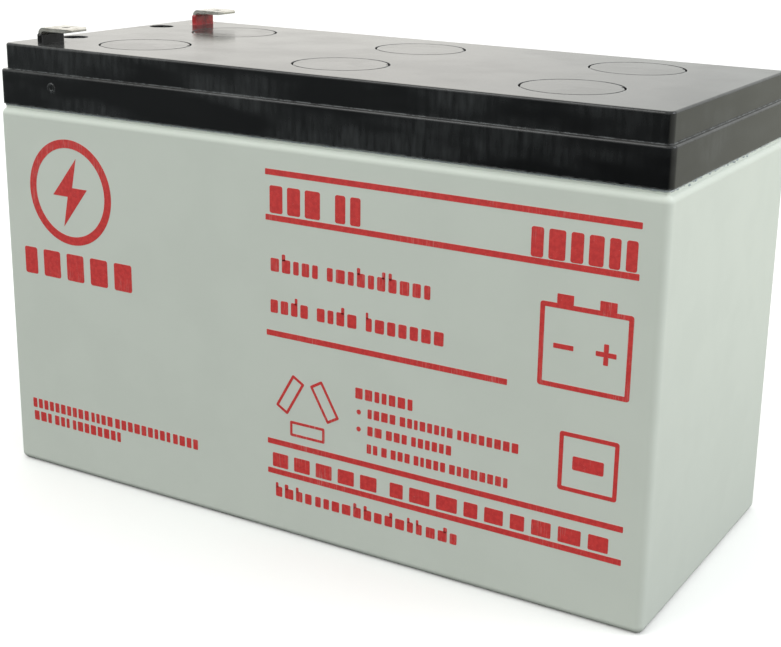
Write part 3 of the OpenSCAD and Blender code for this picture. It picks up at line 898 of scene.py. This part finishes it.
@dataclass
class FrontPrint:
    """Ink on the front face: rules, rows of plain marks, and generic signs. Sizes in millimetres."""

    face_y: float
    film: float = 0.035
    key: float = 0.02
    end_margin: float = 4.7
    panel_l: float = 76.8
    rule_w: float = 1.15
    rule_heights: tuple[float, ...] = (74.3, 65.4, 19.2, 12.8)
    short_rule: Point2 = (53.0, 42.1)
    emblem_r: float = 11.3
    emblem_t: float = 1.8
    emblem_at: Point2 = (14.3, 64.1)
    emblem_sides: int = 96
    bolt: tuple[Point2, ...] = (
        (0.18, 0.66), (-0.42, -0.08), (-0.06, -0.08), (-0.18, -0.66), (0.42, 0.1), (0.06, 0.1))
    triangle_at: Point2 = (9.6, 28.2)
    triangle_r: float = 4.7
    triangle_bar: Point2 = (3.2, 8.2)
    triangle_t: float = 0.55
    bar_corners: Point2 = (0.3, 0.1)
    sign_corners: Point2 = (0.5, 0.15)
    battery_at: Point2 = (58.9, 43.6)
    battery_l: float = 17.5
    battery_h: float = 15.5
    battery_t: float = 0.9
    post_shares: Point2 = (0.18, 0.64)
    post_size: Point2 = (0.18, 0.1)
    dash_shares: Point2 = (0.16, 0.62)
    dash_l: float = 0.22
    frame_at: Point2 = (63.8, 24.6)
    frame_size: Point2 = (11.4, 11.2)
    frame_t: float = 0.8
    frame_bar_at: Point2 = (2.7, 4.3)
    frame_bar: Point2 = (6.0, 2.6)
    dots_at: tuple[Point2, ...] = ((21.6, 30.3), (21.6, 26.8))
    dot_r: float = 0.5
    dot_sides: int = 20
    block_gap: float = 0.3
    block_corner: float = 0.08
    block_widths: tuple[float, ...] = (0.75, 1.0, 1.0, 1.15)
    low_share: float = 0.72
    stem_w: float = 0.4
    stem_share: float = 0.3
    left_stems: float = 0.18
    seed: int = 7
    panel_rows: tuple[PrintRow, ...] = (
        PrintRow(1.0, 66.9, 5.4, 3.6, (11.6, 5.6), word_gap=3.4),
        PrintRow(56.6, 66.7, 5.4, 3.3, (9.9, 8.8)),
        PrintRow(1.1, 55.3, 3.7, 2.35, (11.0, 22.6), False, 2.1),
        PrintRow(1.0, 46.9, 3.7, 2.3, (8.8, 9.0, 16.8), False, 2.1),
        PrintRow(20.8, 33.0, 2.2, 1.8, (12.7,)),
        PrintRow(23.6, 29.4, 1.9, 1.5, (6.2, 11.4, 12.6), word_gap=1.0),
        PrintRow(23.6, 25.9, 1.9, 1.5, (3.2, 4.6, 8.6), word_gap=1.0),
        PrintRow(23.5, 22.2, 1.9, 1.45, (2.4, 1.2, 4.2, 6.8, 12.2), word_gap=0.9),
        PrintRow(1.2, 14.4, 3.0, 4.8, (24.6, 45.4), word_gap=3.0),
        PrintRow(1.9, 8.0, 3.0, 2.2, (8.7, 24.6, 6.7), False, 0.9),
    )
    left_rows: tuple[PrintRow, ...] = (
        PrintRow(0.4, 44.8, 5.9, 6.2, (30.0,)),
        PrintRow(0.2, 13.4, 2.2, 1.7, (16.4, 6.0, 15.2, 6.6), word_gap=0.8),
        PrintRow(0.4, 10.4, 2.2, 1.7, (5.1, 4.3, 13.8), word_gap=1.0),
    )
    shapes: dict[str, Shape] = field(default_factory=dict)

    def half_case(self) -> float:
        """Half the length of the case, in millimetres."""
        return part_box("container")[1].x / MM

    def panel_x(self) -> float:
        """Left end of the printed panel."""
        return self.half_case() - self.end_margin - self.panel_l

    def left_x(self) -> float:
        """Left end of what is printed beside the panel."""
        return self.end_margin - self.half_case()

    def shape(self, name: str) -> Shape:
        """Finds or starts the shape of one printed piece."""
        if name not in self.shapes:
            self.shapes[name] = Shape(name)
        return self.shapes[name]

    def points(self, outline: Iterable[Point2], y: float) -> list[Vector]:
        """Puts an outline on the front, y millimetres from the case's middle."""
        return [Vector((x, y, z)) * MM for x, z in outline]

    def mark(self, name: str, outline: Sequence[Point2]) -> None:
        """Prints a closed outline.

        Args:
            name: The printed piece.
            outline: Its points, as x and z.
        """
        shape = self.shape(name)
        back = shape.loop(self.points(outline, self.face_y + self.key))
        front = shape.loop(self.points(outline, self.face_y - self.film))
        shape.skin([back, front])
        shape.cap(back, True)
        shape.cap(front)

    def band(self, name: str, outer: Sequence[Point2], inner: Sequence[Point2]) -> None:
        """Prints the ground between two outlines with as many points each.

        Args:
            name: The printed piece.
            outer: The outer outline.
            inner: The inner outline.
        """
        shape = self.shape(name)
        loops = [shape.loop(self.points(outline, self.face_y + depth))
                 for outline, depth in ((outer, self.key), (outer, -self.film),
                                        (inner, -self.film), (inner, self.key))]
        shape.skin(loops, closed=True)

    def bar(self, name: str, x: float, z: float, length: float, height: float,
            round_by: float = 0.12) -> None:
        """Prints a bar with softened corners.

        Args:
            name: The printed piece.
            x: Left edge.
            z: Lower edge.
            length: Length along X.
            height: Height.
            round_by: Radius of its corners.
        """
        outline = round_rect(length, height, min(round_by, length / 3, height / 3), CORNER_STEPS)
        self.mark(name, moved(outline, x + length / 2, z + height / 2))

    def rules(self) -> None:
        """Prints the long rules and the short one."""
        for z in self.rule_heights:
            self.bar("print_rules", self.panel_x(), z, self.panel_l, self.rule_w)
        length, z = self.short_rule
        self.bar("print_rules", self.panel_x(), z, length, self.rule_w)

    def block(self, x: float, row: PrintRow, width: float, chance: random.Random) -> None:
        """Prints one block of a row, with a stem on some of the low ones.

        Args:
            x: Left edge.
            row: The row.
            width: Width of the block.
            chance: Source of the stems.
        """
        corner = self.block_corner * row.height
        if row.capital:
            self.bar("print_rows", x, row.z, width, row.height, corner)
            return
        low = self.low_share * row.height
        stem = chance.random()
        if stem < self.stem_share:
            stem_w = self.stem_w * width
            side = x if stem < self.left_stems else x + (1 - self.stem_w) * width
            foot = row.z + low - corner
            self.bar("print_rows", side, foot, stem_w, row.height - low + corner, corner)
        self.bar("print_rows", x, row.z, width, low, corner)

    def row(self, row: PrintRow, origin: float, chance: random.Random) -> None:
        """Prints a row of words, each a run of blocks of nearly even width.

        Args:
            row: The row.
            origin: Where its x is counted from.
            chance: Source of the uneven widths.
        """
        start = origin + row.x
        gap = self.block_gap * row.pitch
        for length in row.words:
            count = max(1, round(length / row.pitch))
            shares = [chance.choice(self.block_widths) for _ in range(count)]
            unit = (length - gap * (count - 1)) / sum(shares)
            x = start
            for share in shares:
                self.block(x, row, share * unit, chance)
                x += share * unit + gap
            start += length + row.word_gap

    def emblem(self) -> None:
        """Prints a plain ring with a zigzag bolt in it."""
        x, z = self.left_x() + self.emblem_at[0], self.emblem_at[1]
        outer, inner = (moved(circle(radius, self.emblem_sides), x, z)
                        for radius in (self.emblem_r, self.emblem_r - self.emblem_t))
        self.band("print_emblem", outer, inner)
        bolt = [(self.emblem_r * a, self.emblem_r * b) for a, b in self.bolt]
        self.mark("print_emblem", moved(bolt, x, z))

    def box_outline(self, x: float, z: float, length: float, height: float, t: float) -> None:
        """Prints the outline of a rectangle, t thick."""
        rings = []
        for inset, corner in zip((0.0, t), self.sign_corners):
            outline = round_rect(length - 2 * inset, height - 2 * inset, corner, CORNER_STEPS)
            rings.append(moved(outline, x + length / 2, z + height / 2))
        self.band("print_signs", rings[0], rings[1])

    def triangle(self) -> None:
        """Prints the outlines of three bars set as a triangle, with gaps at its corners."""
        centre = Vector((self.panel_x() + self.triangle_at[0], self.triangle_at[1]))
        width, length = self.triangle_bar
        for turn in (30, 150, 270):
            spin = Matrix.Rotation(math.radians(turn), 2)
            rings = []
            for inset, corner in zip((0.0, self.triangle_t), self.bar_corners):
                outline = round_rect(width - 2 * inset, length - 2 * inset, corner, CORNER_STEPS)
                spun = [centre + spin @ Vector((a + self.triangle_r, b)) for a, b in outline]
                rings.append([(point.x, point.y) for point in spun])
            self.band("print_signs", rings[0], rings[1])

    def dots(self) -> None:
        """Prints the dots in front of two of the small rows."""
        for x, z in self.dots_at:
            self.mark("print_signs", moved(circle(self.dot_r, self.dot_sides), self.panel_x() + x, z))

    def battery(self) -> None:
        """Prints a small outline of a battery with a minus and a plus."""
        x, z = self.panel_x() + self.battery_at[0], self.battery_at[1]
        length, height, t = self.battery_l, self.battery_h, self.battery_t
        self.box_outline(x, z, length, height, t)
        post_w, post_h = (share * length for share in self.post_size)
        for share in self.post_shares:
            self.bar("print_signs", x + share * length, z + height, post_w, post_h)
        for share in self.dash_shares:
            self.bar("print_signs", x + share * length, z + (height - t) / 2, self.dash_l * length, t)
        middle = x + (self.dash_shares[1] + self.dash_l / 2) * length
        arm = self.dash_l / 2 * length - t / 2
        self.bar("print_signs", middle - t / 2, z + (height + t) / 2, t, arm)
        self.bar("print_signs", middle - t / 2, z + (height - t) / 2 - arm, t, arm)

    def frame_sign(self) -> None:
        """Prints a small frame with a plain bar in it."""
        x, z = self.panel_x() + self.frame_at[0], self.frame_at[1]
        self.box_outline(x, z, self.frame_size[0], self.frame_size[1], self.frame_t)
        (across, up), (length, height) = self.frame_bar_at, self.frame_bar
        self.bar("print_signs", x + across, z + up, length, height, self.bar_corners[0])

    def build(self, paint: Paintshop) -> list[bpy.types.Object]:
        """Prints everything and dresses it.

        Args:
            paint: Where the ink comes from.

        Returns:
            The printed pieces.
        """
        chance = random.Random(self.seed)
        self.rules()
        for origin, rows in ((self.panel_x(), self.panel_rows), (self.left_x(), self.left_rows)):
            for row in rows:
                self.row(row, origin, chance)
        self.emblem()
        self.triangle()
        self.dots()
        self.battery()
        self.frame_sign()
        pieces = [shape.finish() for shape in self.shapes.values()]
        for piece in pieces:
            paint.paint(piece, Slot.INK)
            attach(piece, BODY)
        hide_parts("front_print")
        return pieces


# Sealant and resin


@dataclass
class JointSealant:
    """Resin pressed out between container and lid. Sizes in millimetres."""

    bevel_in: float = 0.8
    neck_corner: float = 0.7
    corner_steps: int = 6
    middle_z: float = 81.0
    sides: int = 10
    station: float = 0.35
    thin: float = 0.1
    thick: float = 0.32
    drops: int = 46
    thick_from: float = 70.0
    thin_share: float = 0.3
    drop_sizes: Point2 = (0.08, 0.24)
    drop_lengths: Point2 = (1.0, 2.4)
    drop_heights: Point2 = (80.45, 81.15)
    drop_sunk: float = 0.02
    drop_rings: int = 5
    drop_lift: float = 0.45
    wave_lengths: tuple[float, ...] = (1.9, 4.3, 9.7, 23.0)
    mean_swell: float = 0.42
    wave_swell: float = 0.2
    seed: int = 21

    def swell(self, chance: random.Random) -> Callable[[float], float]:
        """Makes a wavy function from layers of sines.

        Args:
            chance: Source of the layers' phases.

        Returns:
            A function of the distance round the joint, from 0 to about 1.
        """
        layers = [(length, chance.uniform(0, 2 * math.pi)) for length in self.wave_lengths]

        def value(distance: float) -> float:
            """The swell at one place."""
            total = sum(math.sin(2 * math.pi * distance / length + phase) for length, phase in layers)
            return min(1.0, max(0.0, self.mean_swell + self.wave_swell * total))

        return value

    def path(self) -> list[tuple[Vector, Vector, float]]:
        """Follows the neck of the container.

        Returns:
            Place, outward direction and distance round, for each station.
        """
        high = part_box("container")[1] / MM
        length, width = (2 * (side - self.bevel_in) for side in (high.x, -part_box("container")[0].y / MM))
        corners = round_rect(length, width, self.neck_corner, self.corner_steps)
        found, distance = [], 0.0
        for start, end in zip(corners, corners[1:] + corners[:1]):
            run = Vector(end) - Vector(start)
            count = max(1, round(run.length / self.station))
            away = Vector((run.y, -run.x, 0)).normalized()
            for step in range(count):
                place = Vector(start) + run * (step / count)
                found.append((Vector((place.x, place.y, self.middle_z)), away, distance))
                distance += run.length / count
        return found

    def bead(self) -> bpy.types.Object:
        """Builds the uneven bead round the joint."""
        shape = Shape("joint_bead")
        swell = self.swell(random.Random(self.seed))
        loops = []
        for place, away, distance in self.path():
            share = 1.0 if place.x > self.thick_from else self.thin_share
            radius = self.thin + (self.thick - self.thin) * swell(distance) * share
            loops.append(shape.loop((place + away * out + Vector((0, 0, up))) * MM
                                    for out, up in circle(radius, self.sides)))
        shape.skin(loops, closed=True)
        return shape.finish(smooth=True)

    def drop(self, shape: Shape, middle: Vector, radius: float, long: float) -> None:
        """Adds one flattened drop that sits on the end of the container.

        Args:
            shape: The shape that takes the drop.
            middle: Its middle, on the surface.
            radius: Its height above the surface.
            long: Its length along Y, as a share of its height.
        """
        loops = []
        for ring in range(self.drop_rings):
            lift = (ring / (self.drop_rings - 1)) * self.drop_lift * math.pi
            out, around = radius * math.sin(lift), circle(radius * math.cos(lift), self.sides)
            loops.append(shape.loop((middle + Vector((out, long * a, b))) * MM for a, b in around))
        shape.skin(loops)
        shape.cap(loops[0], True)
        shape.cap(loops[-1])

    def spatter(self) -> bpy.types.Object:
        """Scatters small drops along the joint at the +X end."""
        shape = Shape("joint_drops")
        chance = random.Random(self.seed + 1)
        low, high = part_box("container")
        neck_x = high.x / MM - self.bevel_in
        half = high.y / MM - 2 * self.bevel_in
        for _ in range(self.drops):
            radius = chance.uniform(*self.drop_sizes)
            y, z = chance.uniform(-half, half), chance.uniform(*self.drop_heights)
            place = Vector((neck_x - self.drop_sunk, y, z))
            self.drop(shape, place, radius, chance.uniform(*self.drop_lengths))
        return shape.finish(smooth=True)

    def build(self, paint: Paintshop) -> list[bpy.types.Object]:
        """Builds and dresses the sealant.

        Args:
            paint: Where the resin's finish comes from.

        Returns:
            The pieces.
        """
        pieces = [self.bead(), self.spatter()]
        for piece in pieces:
            paint.paint(piece, Slot.BOND)
            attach(piece, BODY)
        return pieces


@dataclass
class TabFillets:
    """Resin drawn up round the leg of each tab. Sizes in millimetres."""

    tab_t: float = 0.8
    tab_w: float = 6.35
    spread: tuple[float, ...] = (0.26, 0.17, 0.09, 0.03, 0.0, -0.1)
    climb: tuple[float, ...] = (-0.08, 0.05, 0.12, 0.2, 0.3, 0.3)
    least_out: float = 0.02
    corner: float = 0.05
    corner_steps: int = 5

    def fillet(self, name: str, seal: str) -> bpy.types.Object:
        """Builds the fillet on one seal.

        Args:
            name: The piece's name.
            seal: The seal's node.

        Returns:
            The piece.
        """
        low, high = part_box(seal)
        middle = (low + high) / 2
        shape = Shape(name)
        loops = []
        for out, up in zip(self.spread, self.climb):
            outline = round_rect(self.tab_t + 2 * out, self.tab_w + 2 * out,
                                 max(out, self.least_out) + self.corner, self.corner_steps)
            loops.append(shape.loop(Vector((middle.x + a * MM, middle.y + b * MM, high.z + up * MM))
                                    for a, b in outline))
        shape.skin(loops)
        shape.cap(loops[0], True)
        shape.cap(loops[-1])
        return shape.finish(smooth=True)

    def build(self, paint: Paintshop) -> list[bpy.types.Object]:
        """Builds and dresses both fillets.

        Args:
            paint: Where the resins' finishes come from.

        Returns:
            The pieces.
        """
        pieces = []
        for pole, slot in (("positive", Slot.RED_RESIN), ("negative", Slot.BLACK_RESIN)):
            piece = self.fillet(pole + "_resin_fillet", pole + "_seal")
            paint.paint(piece, slot)
            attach(piece, BODY)
            pieces.append(piece)
        return pieces


# The modelled nodes


@dataclass
class Casework:
    """Every node that keeps its own solid, and the slot of its finish."""

    starts: tuple[tuple[str, Slot], ...] = (
        ("container", Slot.CONTAINER),
        ("lid_bond", Slot.BOND),
        ("lid", Slot.LID),
        ("vent_cover", Slot.COVER),
        ("valve_cap", Slot.CAP),
        ("positive_group", Slot.POSITIVE_PASTE),
        ("negative_group", Slot.NEGATIVE_PASTE),
        ("separator", Slot.MAT),
        ("cell_link", Slot.LEAD),
        ("positive_post", Slot.LEAD),
        ("negative_post", Slot.LEAD),
        ("positive_tab", Slot.TAB),
        ("negative_tab", Slot.TAB),
        ("positive_seal", Slot.RED_RESIN),
        ("negative_seal", Slot.BLACK_RESIN),
    )

    def slot_of(self, name: str) -> Optional[Slot]:
        """Finds the slot of a node by the start of its name."""
        return next((slot for start, slot in self.starts if name.startswith(start)), None)

    def build(self, paint: Paintshop) -> list[bpy.types.Object]:
        """Dresses the nodes.

        Args:
            paint: Where the finishes come from.

        Returns:
            The dressed nodes.
        """
        dressed = []
        for name, node in sorted(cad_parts.items()):
            slot = self.slot_of(name)
            if slot is not None:
                paint.paint(node, slot)
                dressed.append(node)
        return dressed


# Studio


@dataclass(frozen=True)
class SoftBox:
    """A soft rectangular light that looks at the object. Sizes in metres."""

    name: str
    place: tuple[float, float, float]
    size: Point2
    radiance: float
    tint: tuple[float, float, float] = (1, 1, 1)

    def build(self) -> bpy.types.Object:
        """Makes the light."""
        lamp = bpy.data.lights.new(self.name, "AREA")
        lamp.shape = "RECTANGLE"
        lamp.size, lamp.size_y = self.size
        lamp.energy = self.radiance * math.pi * self.size[0] * self.size[1]
        lamp.color = self.tint
        light = bpy.data.objects.new(self.name, lamp)
        light.location = self.place
        light.rotation_mode = "QUATERNION"
        light.rotation_quaternion = (-Vector(self.place)).to_track_quat("-Z", "Y")
        bpy.context.scene.collection.objects.link(light)
        return light


@dataclass(frozen=True)
class PaleFloor(Finish):
    """A floor that looks white, while what it reflects and bounces has painted shade in front and to the
    left and painted light behind.
    """

    # Painted shade and painted light on the floor, seen only in reflections and bounce.
    painted_shade_floor_left: Colour = screen(96, 100, 102)
    painted_shade_floor_front: Colour = screen(40, 42, 44)
    painted_light_floor_back: Colour = screen(182, 182, 172)
    glow: float = 0.1

    def build(self) -> bpy.types.Material:
        """Makes the material."""
        material, desk, shader = self.start()
        place = desk.split(desk.place())
        # Painted shade in front and to the left, and painted light behind.
        left = desk.rise(place["X"], -0.1, -0.3)
        beyond = desk.rise(desk.total(place["X"], place["Y"]), -0.05, 0.4)
        painted_floor_light = desk.blend(left, self.painted_shade_floor_front, self.painted_shade_floor_left)
        painted_floor_light = desk.blend(beyond, painted_floor_light, self.painted_light_floor_back)
        seen = desk.node("LightPath").outputs["Is Camera Ray"]
        desk.feed(shader, "Base Color", desk.blend(seen, painted_floor_light, self.colour))
        self.gloss(desk, shader, Effects.clouds(desk, 60.0, 0.3, 0.7))
        shader.inputs["Specular IOR Level"].default_value = 0.1
        shader.inputs["Emission Color"].default_value = self.colour
        desk.feed(shader, "Emission Strength", desk.product(seen, self.glow))
        return material


PALE_FLOOR = PaleFloor("pale_floor", screen(252, 252, 252), screen(248, 248, 248), 0.6, 0.7)


@dataclass
class Studio:
    """A pale floor in a white room, with soft boxes to the right and in front."""

    floor_half: float = 3.0
    room: Colour = (0.91, 0.93, 0.9, 1)
    back_left: Colour = (1.22, 1.2, 1.14, 1)
    boxes: tuple[SoftBox, ...] = (
        SoftBox("right_box", (1.35, 0.35, 0.75), (0.9, 0.9), 3.0, (0.99, 1, 1.08)),
        SoftBox("front_box", (-0.9, -1.3, 1.5), (1.2, 1.0), 2.8),
    )

    def floor(self) -> None:
        """Lays the floor, a plain sheet that looks white, with painted shade and painted light in what it
        reflects and bounces.
        """
        shape = Shape("floor")
        half = self.floor_half
        shape.cap(shape.loop(Vector((x, y, 0)) for x, y in
                             ((-half, -half), (half, -half), (half, half), (-half, half))))
        sheet = shape.finish()
        sheet.data.materials.append(PALE_FLOOR.build())

    def backdrop(self) -> None:
        """Fills the room with soft light, a little warmer and brighter towards the back left."""
        world = bpy.data.worlds.new("white_room")
        bpy.context.scene.world = world
        world.use_nodes = True
        desk = Desk(world.node_tree)
        way = desk.split(desk.node("TexCoord").outputs["Generated"])
        left = desk.rise(way["X"], -0.25, -0.55)
        behind = desk.rise(way["Y"], 0.2, 0.6)
        glow = desk.blend(desk.product(left, behind), self.room, self.back_left)
        seen = desk.node("LightPath").outputs["Is Camera Ray"]
        ground = world.node_tree.nodes["Background"]
        desk.feed(ground, "Color", desk.blend(seen, glow, (1, 1, 1, 1)))

    def build(self) -> None:
        """Builds the floor, the room and the lights, and sets how light becomes colour."""
        self.floor()
        self.backdrop()
        for box in self.boxes:
            box.build()
        view = bpy.context.scene.view_settings
        view.view_transform = "Standard"
        view.look = "None"


@dataclass
class PhotoCamera:
    """The camera, as found by fitting the case's corners in the photograph.

    Angles are in degrees, and lengths in millimetres. The principal point and the focal
    length are in pixels of the photograph.
    """

    azimuth: float = 29.876
    elevation: float = 16.262
    roll: float = 1.177
    distance: float = 301.542
    focal: float = 1435.804
    middle: Point2 = (419.0, 288.0)
    target: tuple[float, float, float] = (9.723, 0.0, 46.312)
    sensor: float = 36.0

    def build(self) -> bpy.types.Object:
        """Makes the camera and makes it the scene's.

        Returns:
            The camera.
        """
        turn, lift, roll = (math.radians(a) for a in (self.azimuth, self.elevation, self.roll))
        flat = math.cos(lift)
        back = Vector((math.sin(turn) * flat, -math.cos(turn) * flat, math.sin(lift)))
        right = Vector((math.cos(turn), math.sin(turn), 0))
        up = back.cross(right)
        across = right * math.cos(roll) + up * math.sin(roll)
        upward = up * math.cos(roll) - right * math.sin(roll)
        lens = bpy.data.cameras.new("photo_camera")
        lens.sensor_width = self.sensor
        lens.lens = self.focal / PHOTO_W * self.sensor
        lens.shift_x = (PHOTO_W / 2 - self.middle[0]) / PHOTO_W
        lens.shift_y = (self.middle[1] - PHOTO_H / 2) / PHOTO_W
        lens.clip_start = 0.01
        lens.dof.use_dof = False
        camera = bpy.data.objects.new("photo_camera", lens)
        place = (Vector(self.target) + back * self.distance) * MM
        axes = Matrix((across, upward, back)).transposed()
        camera.matrix_world = Matrix.Translation(place) @ axes.to_4x4()
        bpy.context.scene.collection.objects.link(camera)
        bpy.context.scene.camera = camera
        return camera


def main() -> None:
    """Builds the camera, the studio and every sub-assembly."""
    logging.basicConfig(level=logging.INFO, format="%(name)s: %(message)s")
    PhotoCamera().build()
    Studio().build()
    paint = Paintshop()
    face_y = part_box("container")[0].y / MM
    groups = (Casework(), FrontPrint(face_y), JointSealant(), TabFillets())
    for group in groups:
        for piece in group.build(paint):
            log.info("%s: %s, %d faces", type(group).__name__, piece.name, len(piece.data.polygons))


if __name__ == "__main__":
    main()
